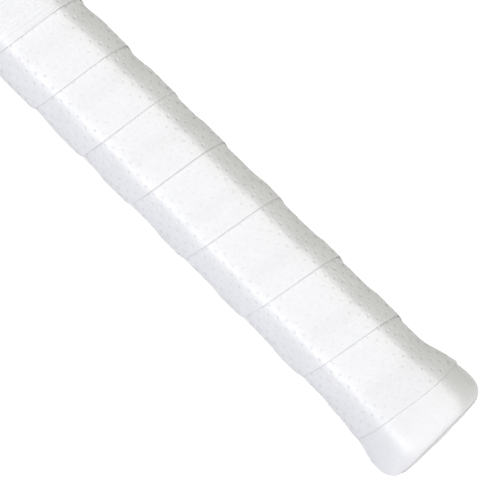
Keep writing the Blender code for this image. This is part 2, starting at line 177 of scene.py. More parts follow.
CUSHION_GROOVE = 0.00025
CUSHION_SQUEEZE = 0.0003
END_DOME = 0.0006


def smooth(t):
    """An eased step from 0 to 1."""
    t = np.clip(t, 0.0, 1.0)
    return t * t * (3 - 2 * t)


# ---- Shape of the handle -------------------------------------------------------------------------
def octagon_table(level):
    """Core point and outward angle against the length round the handle at the given level."""
    side = CORE_HALF_DEPTH - (CORE_HALF_WIDTH - SOFT_HALF_FLAT)
    corners = [(-SOFT_HALF_FLAT, CORE_HALF_DEPTH), (-CORE_HALF_WIDTH, side)]
    corners += [(y, -z) for y, z in reversed(corners)]
    corners += [(-y, z) for y, z in reversed(corners)]
    rows = [(0.0, 0.0, CORE_HALF_DEPTH, 0.0)]
    for index, (y, z) in enumerate(corners):
        length, last_y, last_z, last_angle = rows[-1]
        length += sqrt((y - last_y) ** 2 + (z - last_z) ** 2)
        rows.append((length, y, z, last_angle))
        rows.append((length + level * pi / 4, y, z, pi / 4 * (index + 1)))
    length, last_y = rows[-1][0], rows[-1][1]
    rows.append((length + last_y, 0.0, CORE_HALF_DEPTH, tau))
    return np.array(rows)


def soft_section():
    """The octagon with its corners spread by the soft layers, as columns of a table."""
    table = octagon_table(CUSHION_OUTSIDE + TAPE_ON_CUSHION)
    girth = table[-1, 0]
    along = np.arange(SECTION_SAMPLES) * girth / SECTION_SAMPLES
    reaches = [int(width / girth * SECTION_SAMPLES / 2) for width, share in SECTION_SOFTNESS]
    reach = max(reaches)
    window = np.zeros(2 * reach + 1)
    for part, (width, share) in zip(reaches, SECTION_SOFTNESS):
        window[reach - part:reach + part + 1] += share / (2 * part + 1)
    columns = []
    for column, round_gain in ((1, 0.0), (2, 0.0), (3, tau)):
        values = np.interp(along, table[:, 0], table[:, column])
        before, after = values[-reach:] - round_gain, values[:reach] + round_gain
        wrapped = np.concatenate([before, values, after])
        columns.append(np.convolve(wrapped, window, mode="valid"))
    core_y, core_z, angle = columns
    return along, core_y, core_z, -np.sin(angle), np.cos(angle), girth


SECTION_AT, CORE_Y, CORE_Z, OUT_Y, OUT_Z, GIRTH = soft_section()


def on_handle(turn, distance, level, scale=1.0):
    """Points at turn, distance and level, as an array of x, y, z; scale shrinks the core."""
    along = np.mod(turn, 1.0) * GIRTH
    core_y, core_z, out_y, out_z = (np.interp(along, SECTION_AT, column, period=GIRTH)
                                    for column in (CORE_Y, CORE_Z, OUT_Y, OUT_Z))
    y = core_y * scale + out_y * level
    z = core_z * scale + out_z * level
    x = BUTT_X - distance + 0 * y  # one distance serves every turn
    return np.stack([x, y, AXIS_Z + z], axis=-1)


def bend(turn):
    """How sharply the section turns there: near 0 on the flats, near 1 on the edges between."""
    normals = []
    for nearby in (turn - BEND_REACH, turn + BEND_REACH):
        along = np.mod(nearby, 1.0) * GIRTH
        normals.append([np.interp(along, SECTION_AT, column, period=GIRTH)
                        for column in (OUT_Y, OUT_Z)])
    (y, z), (next_y, next_z) = normals
    return min(1.0, abs(y * next_z - z * next_y) / BEND_FULL)


def flare_share(distance):
    return smooth((FLARE_TOP - distance) / (FLARE_TOP - FLARE_WIDEST))


def flare(distance):
    """How far the butt's flare lifts every layer; its rim is rounded off towards the end."""
    t = np.clip((FLARE_WIDEST - distance) / FLARE_WIDEST, 0.0, 1.0)
    rim = FLARE_RISE - RIM_DROP * (1 - (1 - t ** RIM_POWER) ** (1 / RIM_POWER))
    return np.where(distance < FLARE_WIDEST, rim, FLARE_RISE * flare_share(distance))


def swell(distance):
    return CUSHION_SWELL * (1 - distance / HANDLE_LENGTH)


def cushion_level(distance):
    return CUSHION_OUTSIDE + swell(distance) + flare(distance)


def cushion_inside(distance):
    thinned = CUSHION_THICKNESS + swell(distance) - CUSHION_THINNING * flare_share(distance)
    return cushion_level(distance) - thinned


def tape_level(distance):
    """The upper skin of a single layer of tape."""
    return cushion_level(distance) + TAPE_ON_CUSHION


# ---- Course of the tape --------------------------------------------------------------------------
def edge_after(turn):
    """The helix's butt-side edge; its pitch shortens from the butt's to the throat's."""
    shift = PITCH_CHANGE_TO - PITCH_CHANGE_FROM
    t = np.clip((turn - PITCH_CHANGE_FROM) / shift, 0.0, 1.0)
    eased = shift * (t ** 3 - t ** 4 / 2) + np.maximum(turn - PITCH_CHANGE_TO, 0.0)
    return FIRST_EDGE + BUTT_PITCH * (turn - 1) - (BUTT_PITCH - THROAT_PITCH) * eased


def near_edge(turn):
    """The tape's butt-side edge: along the rim, up the flare, then into the helix."""
    begin, end = FIRST_RISE
    climb = TAPE_START + (FIRST_HOLD - TAPE_START) * smooth((turn - begin) / (end - begin))
    helix = edge_after(turn - TAPE_FRONT_LAG * np.sin(tau * turn) / tau)
    half = (helix - climb) / 2
    return climb + half + np.sqrt(half * half + FIRST_SOFTNESS ** 2)


def tape_width(turn):
    """The strip is cut to a taper at its start."""
    share = (turn + TAPE_LEAD_IN) / (TAPE_LEAD_IN + TAPE_FULL_AFTER)
    return TAPE_TIP_WIDTH + (TAPE_WIDTH - TAPE_TIP_WIDTH) * np.clip(share, 0.0, 1.0)


def lap(turn, distance):
    """1 where the tape lies on the turn before it, 0 where it lies on the cushion."""
    under = near_edge(turn - 1) + tape_width(turn - 1)
    share = 1 - smooth((distance - under - LAP_CLEARANCE) / LAP_SOFTNESS)
    begins = smooth((turn - (1 - TAPE_LEAD_IN) + LAP_BEGINS) / LAP_BEGINS)
    return share * begins


def ripple(turn, distance):
    """Slow unevenness of hand-wound tape."""
    wave = 0.00005 * np.sin(tau * (turn * 1.31 + distance / 0.043))
    wave += 0.00004 * np.sin(tau * (turn * 2.17 - distance / 0.029) + 1.3)
    wave += 0.00002 * np.sin(tau * (turn * 5.3 + distance / 0.011) + 0.4)
    return wave


def stretch_folds(turn, across):
    """Fine folds along the strip where the last turn is pulled tight."""
    pulled = smooth((turn - SMOOTH_TOP_TURN + 0.15) / 0.3)
    fade = 0.45 + 0.55 * np.exp(-((across - 0.0035) / 0.0040) ** 2)
    drift = 0.0009 * np.sin(tau * turn * 2.3) + 0.0006 * np.sin(tau * turn * 5.1 + 1.0)
    narrow, wide = FOLD_SPACINGS
    folds = np.sin(tau * (across + drift) / narrow) + 0.6 * np.sin(tau * (across - drift) / wide)
    return FOLD_HEIGHT * pulled * fade * folds


def tape_point(length, across, sink):
    """A point of the strip's upper skin; sink is how far it lies below it."""
    turn_at_edge = -TAPE_LEAD_IN + length / TURN_LENGTH
    width = tape_width(turn_at_edge)
    folds = stretch_folds(turn_at_edge, across)
    across = across * width / TAPE_WIDTH
    turn = turn_at_edge - across * SLANT_SIN / GIRTH
    distance = near_edge(turn_at_edge) + across * SLANT_COS
    level = tape_level(distance) + TAPE_LIFT * lap(turn, distance) + folds
    level += ripple(turn, distance) * smooth(distance / RIPPLE_FADE)
    room = TAPE_END - END_BAND[0]
    squeezed = END_BAND[0] + room * (1 - np.exp(-(distance - END_BAND[0]) / room))
    distance = np.where(distance > END_BAND[0], squeezed, distance)
    return on_handle(turn, distance, level - sink)


SLANT = atan(BUTT_PITCH / GIRTH)
SLANT_SIN, SLANT_COS = sin(SLANT), cos(SLANT)
TURN_LENGTH = GIRTH / SLANT_COS
CUSHION_TURNS = (CUSHION_END - CUSHION_START - CUSHION_FIRST_WIDTH) / CUSHION_PITCH + 0.9


# ---- Mesh helpers --------------------------------------------------------------------------------
def mesh_object(name, points, faces, surface, sharp_angle=50):
    """An object from points and faces, shaded smooth up to the sharp angle."""
    mesh = bpy.data.meshes.new(name)
    mesh.from_pydata([tuple(point) for point in points], [], faces)
    mesh.materials.append(surface)
    mesh.shade_smooth()
    mesh.set_sharp_from_angle(angle=radians(sharp_angle))
    item = bpy.data.objects.new(name, mesh)
    bpy.context.scene.collection.objects.link(item)
    return item


def face_outward(item):
    """Turns every face of a closed body outwards."""
    work = bmesh.new()
    work.from_mesh(item.data)
    bmesh.ops.recalc_face_normals(work, faces=work.faces)
    work.to_mesh(item.data)
    work.free()


def loft(name, rings, surface, closed=False, sharp_angle=50):
    """A body through rings of equal length, capped at both ends unless it closes on itself."""
    count = len(rings[0])
    points = np.concatenate(rings)
    spans = [(index, index + 1) for index in range(len(rings) - 1)]
    faces = []
    if closed:
        spans.append((len(rings) - 1, 0))
    else:
        faces += [tuple(range(count)), tuple(len(points) - count + k for k in range(count))]
    for near, far in spans:
        for k in range(count):
            after = (k + 1) % count
            faces.append((near * count + k, near * count + after,
                          far * count + after, far * count + k))
    item = mesh_object(name, points, faces, surface, sharp_angle)
    face_outward(item)
    return item


def rings_of(profile):
    """Rings round the handle from (distance, level, scale) points."""
    turns = np.arange(RING_POINTS) / RING_POINTS
    return [on_handle(turns, distance, level, scale) for distance, level, scale in profile]


def rounded(points, radius, steps=4):
    """A profile of (distance, level, scale, round?) with its marked corners rounded off."""
    result = []
    for index, (*point, is_round) in enumerate(points):
        point = np.array(point)
        if not is_round:
            result.append(tuple(point))
            continue
        before = np.array(points[index - 1][:3]) - point
        after = np.array(points[(index + 1) % len(points)][:3]) - point
        start, end = (point + away * min(0.45, radius / section_length(away))
                      for away in (before, after))
        for step in range(steps + 1):
            t = step / steps
            result.append(tuple((1 - t) ** 2 * start + 2 * t * (1 - t) * point + t * t * end))
    return result


def section_length(step):
    """Length of a profile step; a change of scale moves the core's middle flats."""
    return sqrt(step[0] ** 2 + (step[1] + step[2] * CORE_HALF_DEPTH) ** 2) + 1e-9


def smooth_profile(points, steps=6):
    """A Catmull-Rom curve through (distance, level) points."""
    points = [np.array(point) for point in points]
    padded = [2 * points[0] - points[1]] + points + [2 * points[-1] - points[-2]]
    curve = []
    for a, b, c, d in zip(padded, padded[1:], padded[2:], padded[3:]):
        for step in range(steps):
            t = step / steps
            curve.append(0.5 * (2 * b + (c - a) * t + (2 * a - 5 * b + 4 * c - d) * t ** 2
                                + (3 * b - a - 3 * c + d) * t ** 3))
    curve.append(points[-1])
    return [tuple(point) for point in curve]


def dome(item):
    """Swells the end face by a fraction of a millimetre, most in its middle."""
    half_width = CORE_HALF_WIDTH + float(tape_level(0.0))
    half_depth = CORE_HALF_DEPTH + float(tape_level(0.0))
    for vertex in item.data.vertices:
        distance = BUTT_X - vertex.co.x
        y, z = vertex.co.y / half_width, (vertex.co.z - AXIS_Z) / half_depth
        fade = 1 - min(distance / CAP_WALL, 1.0)
        vertex.co.x += END_DOME * max(0.0, 1 - y * y - z * z) * fade


# ---- Grip tape -----------------------------------------------------------------------------------
def pit_centres(columns):
    """Perforations on a staggered lattice, as (column, lattice row, depth share)."""
    centres = []
    random = np.random.default_rng(11)
    for lattice_row in range(PIT_ROWS, TAPE_ROWS - 2, PIT_ROWS):
        shift = PIT_COLUMNS // 2 if (lattice_row // PIT_ROWS) % 2 else 0
        for column in range(PIT_COLUMNS + shift, columns - PIT_COLUMNS, PIT_COLUMNS):
            keep = random.random()
            over = STEP * lattice_row
            turn_at_edge = -TAPE_LEAD_IN + STEP * column / TURN_LENGTH
            turn = turn_at_edge - over * SLANT_SIN / GIRTH
            distance = float(near_edge(turn_at_edge)) + over * SLANT_COS
            covered = distance > float(near_edge(turn + 1)) + PIT_CLEARANCE
            at_top = turn_at_edge > SMOOTH_TOP_TURN
            stretched_shut = at_top and keep > TOP_PITS_KEPT
            outside = turn_at_edge < FIRST_PIT_TURN or distance > END_BAND[0]
            if outside or covered or stretched_shut:
                continue
            open_share = (0.45 + 0.75 * bend(turn)) * (0.8 + 0.4 * keep)
            centres.append((column, lattice_row, TOP_PIT_DEPTH if at_top else open_share))
    return centres


def make_grip_tape(surface):
    """One ribbon: an upper skin with real pits, closed by a coarser underside."""
    columns = int((LAST_TURN + TAPE_LEAD_IN) * TURN_LENGTH / STEP)
    across = np.array(list(EDGE_ROWS) + [STEP * row for row in range(1, TAPE_ROWS + 1)])
    extra = len(EDGE_ROWS) - 1
    rows = len(across)
    lengths = STEP * np.arange(columns)
    grid_length, grid_across = np.meshgrid(lengths, across, indexing="ij")
    inset = np.clip(EDGE_RADIUS - grid_across, 0.0, EDGE_RADIUS)
    sink = EDGE_RADIUS - np.sqrt(EDGE_RADIUS ** 2 - inset ** 2)
    skin = tape_point(grid_length, grid_across, sink).reshape(-1, 3)
    places = [np.stack([grid_length.ravel(), grid_across.ravel()], axis=-1)]

    pit_cells = set()
    faces = []
    pit_places = []
    offset = len(skin)
    around = [(1, 0), (1, 1), (0, 1), (-1, 1), (-1, 0), (-1, -1), (0, -1), (1, -1)]
    for column, lattice_row, depth in pit_centres(columns):
        row = lattice_row + extra
        length, over = STEP * column, STEP * lattice_row
        pit_cells.update(((column, row), (column - 1, row), (column, row - 1),
                          (column - 1, row - 1)))
        outer = [(column + right) * rows + row + up for right, up in around]
        for radius, fall in PIT_RINGS:
            ring = list(range(offset, offset + PIT_POINTS))
            offset += PIT_POINTS
            for part in range(PIT_POINTS):
                angle = tau * part / PIT_POINTS
                pit_places.append((length + radius * cos(angle), over + radius * sin(angle),
                                   fall * depth))
                after = (part + 1) % PIT_POINTS
                faces.append((outer[part], outer[after], ring[after], ring[part]))
            outer = ring
        pit_places.append((length, over, PIT_DEPTH * depth))
        faces += [(outer[part], outer[(part + 1) % PIT_POINTS], offset)
                  for part in range(PIT_POINTS)]
        offset += 1
    pit_places = np.array(pit_places)
    pits = tape_point(pit_places[:, 0], pit_places[:, 1], pit_places[:, 2])
    places.append(pit_places[:, :2])
    for column in range(columns - 1):
        for row in range(rows - 1):
            if (column, row) not in pit_cells:
                corner = column * rows + row
                faces.append((corner, corner + rows, corner + rows + 1, corner + 1))

    count = UNDERSIDE_ROWS
    under_length, under_over = np.meshgrid(lengths, np.linspace(0.0, TAPE_WIDTH, count),
                                           indexing="ij")
    under_sink = np.full(under_length.shape, TAPE_THICKNESS)
    under = tape_point(under_length, under_over, under_sink).reshape(-1, 3)
    places.append(np.stack([under_length.ravel(), under_over.ravel()], axis=-1))
    for column in range(columns - 1):
        top, low = column * rows, offset + column * count
        for corner in range(low, low + count - 1):
            faces.append((corner, corner + 1, corner + count + 1, corner + count))
        faces.append((top, low, low + count, top + rows))
        faces.append((top + rows - 1, top + 2 * rows - 1, low + 2 * count - 1, low + count - 1))
    last, low = (columns - 1) * rows, offset + (columns - 1) * count
    faces.append(tuple(range(rows)) + tuple(offset + row for row in reversed(range(count))))
    faces.append(tuple(range(low, low + count))
                 + tuple(last + row for row in reversed(range(rows))))

    item = mesh_object("wound_grip_tape", np.concatenate([skin, pits, under]), faces, surface)
    add_tape_map(item, np.concatenate(places))
    # A mask of each pit's depth. The tape material darkens its colour with it, which is painted
    # shade in the pits.
    inside_pit = np.zeros(len(skin) + len(pits) + len(under), np.float32)
    shade = np.clip(pit_places[:, 2] / PIT_SHADE_DEPTH, 0.0, 1.0)
    inside_pit[len(skin):len(skin) + len(pits)] = shade
    item.data.attributes.new("pit", "FLOAT", "POINT").data.foreach_set("value", inside_pit)
    return item


def add_tape_map(item, places):
    """A map in metres along and across the strip, for grain that follows the tape."""
    layer = item.data.uv_layers.new(name="tape")
    corner_points = np.zeros(len(item.data.loops), np.int32)
    item.data.loops.foreach_get("vertex_index", corner_points)
    layer.data.foreach_set("uv", places[corner_points].astype(np.float32).ravel())


# ---- Layers under and over the tape --------------------------------------------------------------
def cushion_edges(turn):
    """Butt-side and throat-side edges of the cushion grip."""
    far = CUSHION_START + CUSHION_FIRST_WIDTH + CUSHION_PITCH * turn
    return max(far - CUSHION_PITCH + GAP, CUSHION_START), min(far, CUSHION_END)


def make_cushion_grip(surface):
    """The thick base grip: one strip laid edge to edge, with pressed-in grooves and soft edges."""
    shares = np.array([0, 0.01, 0.03, 0.06, 0.12, 0.2, 0.3, 0.4, 0.47, 0.5, 0.53, 0.6, 0.7, 0.8,
                       0.88, 0.94, 0.97, 0.99, 1.0])
    edge_fall = CUSHION_EDGE_FALL * np.clip(1 - np.minimum(shares, 1 - shares) / 0.03, 0, 1) ** 2
    groove = CUSHION_GROOVE * np.exp(-((shares - 0.5) / 0.02) ** 2)
    squeeze_start = CUSHION_TAPE[0] - 0.004
    sections = []
    for turn in np.linspace(0.0, CUSHION_TURNS, int(CUSHION_TURNS * CUSHION_STEPS)):
        near, far = cushion_edges(turn)
        distance = near + (far - near) * shares
        squeeze = CUSHION_SQUEEZE * smooth((distance - squeeze_start) / 0.003)
        outside = on_handle(turn, distance, cushion_level(distance) - squeeze - edge_fall - groove)
        inside = on_handle(turn, distance, cushion_inside(distance))
        sections.append(np.concatenate([outside, inside[::-1]]))
    return loft("cushion_wrap", sections, surface)


def make_band(name, span, levels, surface):
    """A film wound once round the grip: two thin skins with rounded edges."""
    start, end = span
    inside, outside = levels
    edge = (outside - inside) / 2
    profile = [(start, inside, 1), (start, inside + edge, 1), (start + edge, outside, 1)]
    profile += [(start + (end - start) * share, outside, 1) for share in (0.25, 0.5, 0.75)]
    profile += [(end - edge, outside, 1), (end, inside + edge, 1), (end, inside, 1)]
    item = loft(name, rings_of(profile), surface, closed=True, sharp_angle=60)
    for vertex in item.data.vertices:
        around = np.arctan2(vertex.co.z - AXIS_Z, vertex.co.y)
        crease = sin(5 * around + (BUTT_X - vertex.co.x) * 420) * sin(17 * around + 1.0)
        vertex.co.x += 0.00015 * sin(3 * around + 0.7)
        vertex.co.z += 0.00003 * crease
    return item


def make_collar(surface):
    """A rubber collar: a round bead towards the grip and a ribbed skirt towards the throat."""
    start, end = COLLAR_START, COLLAR_END
    outline = [(start + 0.0003, COLLAR_SEAT + 0.0002), (start, COLLAR_SEAT + 0.0007),
               (start + 0.0006, COLLAR_SEAT + 0.0012), (start + 0.0018, COLLAR_SEAT + 0.0016),
               (start + 0.0031, COLLAR_BEAD - 0.0004), (start + 0.0045, COLLAR_BEAD - 0.00005),
               (start + 0.0062, COLLAR_BEAD - 0.00005), (start + 0.0077, COLLAR_BEAD - 0.0005),
               (start + 0.0088, COLLAR_SEAT + 0.0014)]
    ribs = 3
    for rib in range(ribs):
        at = start + 0.0094 + rib * 0.0014
        level = COLLAR_SEAT + 0.00095 - rib * 0.00045
        outline += [(at, level - 0.0002), (at + 0.0004, level + 0.00005),
                    (at + 0.0009, level - 0.00005)]
    outline += [(end - 0.0006, COLLAR_SEAT - 0.0005), (end - 0.0001, COLLAR_SEAT - 0.0009),
                (end, COLLAR_SEAT - 0.0013)]
    inside = [(end - 0.0003, COLLAR_SEAT - 0.0017, 1), (start + 0.0105, COLLAR_SEAT - 0.0006, 1),
              (start + 0.0085, COLLAR_SEAT, 1), (start + 0.0003, COLLAR_SEAT, 1)]
    profile = [(*point, 1) for point in smooth_profile(outline, steps=4)] + inside
    return loft("collar_ring", rings_of(profile), surface, closed=True)


# ---- Butt cap and trap door ----------------------------------------------------------------------
def make_butt_cap(surface):
    flange = [(distance, float(tape_level(distance)) - 0.0009)
              for distance in (0.0008, 0.0015, 0.0024, CAP_FLANGE_END)]
    seat = [(distance, float(cushion_inside(distance)) - 0.0005 * float(flare_share(distance)))
            for distance in (0.0037, 0.005, 0.006, 0.007, 0.0085, 0.0105, 0.013, 0.016, 0.020,
                             0.024, 0.028)]
    lip = [(distance, float(tape_level(distance)))
           for distance in (0.0, 0.00004, 0.00012, 0.00025, 0.0004, 0.00055)]
    lip += [(CAP_LIP, float(tape_level(CAP_LIP)) - 0.0001),
            (CAP_LIP + 0.0001, flange[0][1] + 0.0002)]
    level = float(cushion_inside(CAP_SLEEVE_END)) - 2 * FILM_GAP
    profile = [(*point, 1) for point in lip + flange + seat]
    profile += [(CAP_SLEEVE_END - 0.0003, level, 1), (CAP_SLEEVE_END, level - 0.0003, 1),
                (CAP_SLEEVE_END, CAP_CAVITY_LEVEL, 1), (CAP_WALL, CAP_CAVITY_LEVEL, 1)]
    window = [(CAP_WALL, WINDOW_LEVEL, WINDOW_SCALE, True),
              (RECESS_DEPTH, WINDOW_LEVEL, WINDOW_SCALE, True),
              (RECESS_DEPTH, WINDOW_LEVEL, RECESS_SCALE, True),
              (0.0, WINDOW_LEVEL, RECESS_SCALE, True),
              (0.0, float(tape_level(0.0)), 1, False)]
    profile += rounded([(CAP_WALL, CAP_CAVITY_LEVEL, 1, False)] + window, 0.00018)[1:-1]
    item = loft("cap_cup", rings_of(profile), surface, closed=True, sharp_angle=40)
    dome(item)
    return item


def make_trap_door(surface):
    """A domed plate with a stepped rim, a seat for the disc and a notch for a fingernail."""
    level = WINDOW_LEVEL - GAP
    corners = [(CAP_WALL + GAP, level, WINDOW_SCALE, True),
               (RECESS_DEPTH - GAP, level, WINDOW_SCALE, True),
               (RECESS_DEPTH - GAP, level, RECESS_SCALE, True),
               (0.0, level, RECESS_SCALE, True),
               (0.0, level, 0.68, False), (0.0, level, 0.58, False),
               (0.0, DISC_LEVEL, DISC_SCALE, True),
               (DISC_RECESS, DISC_LEVEL, DISC_SCALE, True),
               (DISC_RECESS, 0.0005, 0.05, False)]
    hub = (CAP_WALL + GAP, 0.0005, 0.05, False)
    profile = rounded([hub] + corners, 0.0002)
    item = loft("door_plate", rings_of(profile), surface, sharp_angle=40)
    dome(item)
    notch_z = CORE_HALF_DEPTH * RECESS_SCALE + level
    for vertex in item.data.vertices:
        if BUTT_X - vertex.co.x < DISC_RECESS / 2:
            y, z = vertex.co.y / 0.0032, (AXIS_Z + notch_z - vertex.co.z) / 0.0022
            vertex.co.x -= 0.0007 * max(0.0, 1 - y * y - z * z)
    return item


def make_door_leg(name, sign, surface):
    """A snap leg: a tapered blade with a raised catch near its tip."""
    inner, outer = LEG_HEIGHTS
    middle = (inner + outer) / 2
    stations = [(CAP_WALL, 1.0, 0.0), (0.0050, 0.95, 0.0), (0.0088, 0.85, 0.0),
                (0.0092, 0.85, 0.5), (0.0102, 0.85, 1.0), (0.0110, 0.75, 0.3),
                (LEG_END - 0.0003, 0.5, 0.0), (LEG_END, 0.35, 0.0)]
    sections = []
    for distance, share, catch in stations:
        low = middle - (middle - inner) * share
        high = min(middle + (outer - middle) * (share + 0.15 * catch), outer)
        width = LEG_HALF_WIDTH * (0.7 + 0.3 * share)
        sections.append(prism_section(distance, rounded_box(0.0, width, (high - low) / 2,
                                                            0.0002, 3), sign * (low + high) / 2))
    return loft(name, sections, surface, sharp_angle=40)


def make_door_disc(surface):
    """A blank inlay disc, slightly crowned."""
    level = DISC_LEVEL - GAP
    corners = [(DISC_RECESS - FILM_GAP, level, DISC_SCALE, False),
               (0.0002, level, DISC_SCALE, True),
               (0.0001, level * 0.8, DISC_SCALE * 0.8, False),
               (0.00005, level * 0.5, DISC_SCALE * 0.5, False),
               (0.0, level * 0.1, DISC_SCALE * 0.1, False)]
    hub = (DISC_RECESS - FILM_GAP, 0.0002, 0.02, False)
    item = loft("door_inlay", rings_of(rounded([hub] + corners, 0.00025)), surface)
    dome(item)
    return item


# ---- Shaft ---------------------------------------------------------------------------------------
def rounded_box(centre, half_width, half_depth, corner, steps):
    """An outline of (y, z) points with round corners."""
    outline = []
    for quadrant in range(4):
        y_sign = 1 if quadrant in (0, 3) else -1
        z_sign = 1 if quadrant in (0, 1) else -1
        for step in range(steps + 1):
            angle = pi / 2 * (quadrant + step / steps)
            outline.append((centre + y_sign * (half_width - corner) + corner * cos(angle),
                            z_sign * (half_depth - corner) + corner * sin(angle)))
    return outline


def prism_section(distance, outline, height=0.0):
    return np.array([(BUTT_X - distance, y, AXIS_Z + z + height) for y, z in outline])


def tube_section(side, inset, distance):
    outline = rounded_box(side * TUBE_CENTRE, TUBE_HALF_WIDTH - inset, TUBE_HALF_DEPTH - inset,
                          TUBE_CORNER - inset, 10)
    return prism_section(distance, outline)


def make_shaft_tube(name, side, surface):
    chamfer = 0.00015
    cut = [(0.0, TUBE_START + chamfer), (0.0, SHAFT_END - chamfer), (chamfer, SHAFT_END),
           (TUBE_WALL - chamfer, SHAFT_END), (TUBE_WALL, SHAFT_END - chamfer),
           (TUBE_WALL, TUBE_START + chamfer), (TUBE_WALL - chamfer, TUBE_START),
           (chamfer, TUBE_START)]
    sections = [tube_section(side, inset, distance) for inset, distance in cut]
    return loft(name, sections, surface, closed=True)


def make_tube_plug(name, side, surface):
    """A foam plug, bulging a little at both ends."""
    start, end = TUBE_START + GAP, PLUG_END
    wall = TUBE_WALL + GAP
    steps = [(0.0022, start), (0.0010, start + 0.0001), (0.0004, start + 0.0004),
             (0.0, start + 0.0010), (0.0, end - 0.0010), (0.0004, end - 0.0004),
             (0.0010, end - 0.0001), (0.0018, end)]
    sections = []
    for shrink, distance in steps:
        corner = max(TUBE_CORNER - wall - shrink, 0.0002)
        outline = rounded_box(side * TUBE_CENTRE, TUBE_HALF_WIDTH - wall - shrink,
                              TUBE_HALF_DEPTH - wall - shrink, corner, 10)
        sections.append(prism_section(distance, outline))
    return loft(name, sections, surface)


# ---- Materials -----------------------------------------------------------------------------------
class Surface:
    """A Principled material whose colour, roughness and bump are worked out by its nodes."""

    def __init__(self, name, color, roughness, metallic=0.0):
        self.material = bpy.data.materials.new(name)
        self.material.use_nodes = True
        self.tree = self.material.node_tree
        self.shader = self.tree.nodes["Principled BSDF"]
        self.color = color
        self.shader.inputs["Base Color"].default_value = (*color, 1)
        self.shader.inputs["Roughness"].default_value = roughness
        self.shader.inputs["Metallic"].default_value = metallic
        self.bumped = None

    def node(self, kind, **inputs):
        made = self.tree.nodes.new(kind)
        for name, value in inputs.items():
            socket = made.inputs[name.replace("_", " ")]
            if isinstance(value, bpy.types.NodeSocket):
                self.tree.links.new(value, socket)
            else:
                socket.default_value = value
        return made

    def place(self, stretch=(1, 1, 1), turn=(0, 0, 0), tape_map=False):
        """Object coordinates in metres, or the tape's own map, stretched per axis."""
        if tape_map:
            source = self.tree.nodes.new("ShaderNodeUVMap")
            source.uv_map = "tape"
            vector = source.outputs["UV"]
        else:
            vector = self.tree.nodes.new("ShaderNodeTexCoord").outputs["Object"]
        return self.node("ShaderNodeMapping", Vector=vector, Scale=stretch,
                         Rotation=turn).outputs["Vector"]

    def noise(self, scale, detail=2.0, **place):
        return self.node("ShaderNodeTexNoise", Vector=self.place(**place), Scale=scale,
                         Detail=detail).outputs["Fac"]

    def cells(self, scale, **place):
        return self.node("ShaderNodeTexVoronoi", Vector=self.place(**place),
                         Scale=scale).outputs["Distance"]

    def waves(self, scale, distortion=0.0, **place):
        return self.node("ShaderNodeTexWave", Vector=self.place(**place), Scale=scale,
                         Distortion=distortion).outputs["Fac"]

    def math(self, operation, first, second):
        made = self.tree.nodes.new("ShaderNodeMath")
        made.operation = operation
        for socket, value in zip(made.inputs, (first, second)):
            if isinstance(value, bpy.types.NodeSocket):
                self.tree.links.new(value, socket)
            else:
                socket.default_value = value
        return made.outputs[0]

    def ranged(self, value, low, high, start=0.3, end=0.7):
        return self.node("ShaderNodeMapRange", Value=value, From_Min=start, From_Max=end,
                         To_Min=low, To_Max=high).outputs["Result"]

    def vary_color(self, value, low, high, start=0.3, end=0.7):
        """Tints from low to high times the base colour, each a number or three of them."""
        ramp = self.tree.nodes.new("ShaderNodeValToRGB")
        for element, position, gain in zip(ramp.color_ramp.elements, (start, end), (low, high)):
            gains = gain if isinstance(gain, tuple) else (gain,) * 3
            element.position = position
            element.color = (*(min(c * g, 1.0) for c, g in zip(self.color, gains)), 1)
        self.tree.links.new(value, ramp.inputs["Fac"])
        return ramp.outputs["Color"]

    def set_color(self, color):
        self.tree.links.new(color, self.shader.inputs["Base Color"])

    def multiply(self, first, second):
        made = self.tree.nodes.new("ShaderNodeMix")
        made.data_type = "RGBA"
        made.blend_type = "MULTIPLY"
        made.inputs["Factor"].default_value = 1.0
        self.tree.links.new(first, made.inputs["A"])
        self.tree.links.new(second, made.inputs["B"])
        return made.outputs["Result"]

    def set_roughness(self, value, low, high, start=0.3, end=0.7):
        self.tree.links.new(self.ranged(value, low, high, start, end),
                            self.shader.inputs["Roughness"])

    def bump(self, height, depth, strength=1.0):
        """Adds relief of the given depth in metres on top of what was bumped before."""
        made = self.node("ShaderNodeBump", Height=height, Distance=depth, Strength=strength)
        if self.bumped:
            self.tree.links.new(self.bumped, made.inputs["Normal"])
        self.bumped = made.outputs["Normal"]
        self.tree.links.new(self.bumped, self.shader.inputs["Normal"])


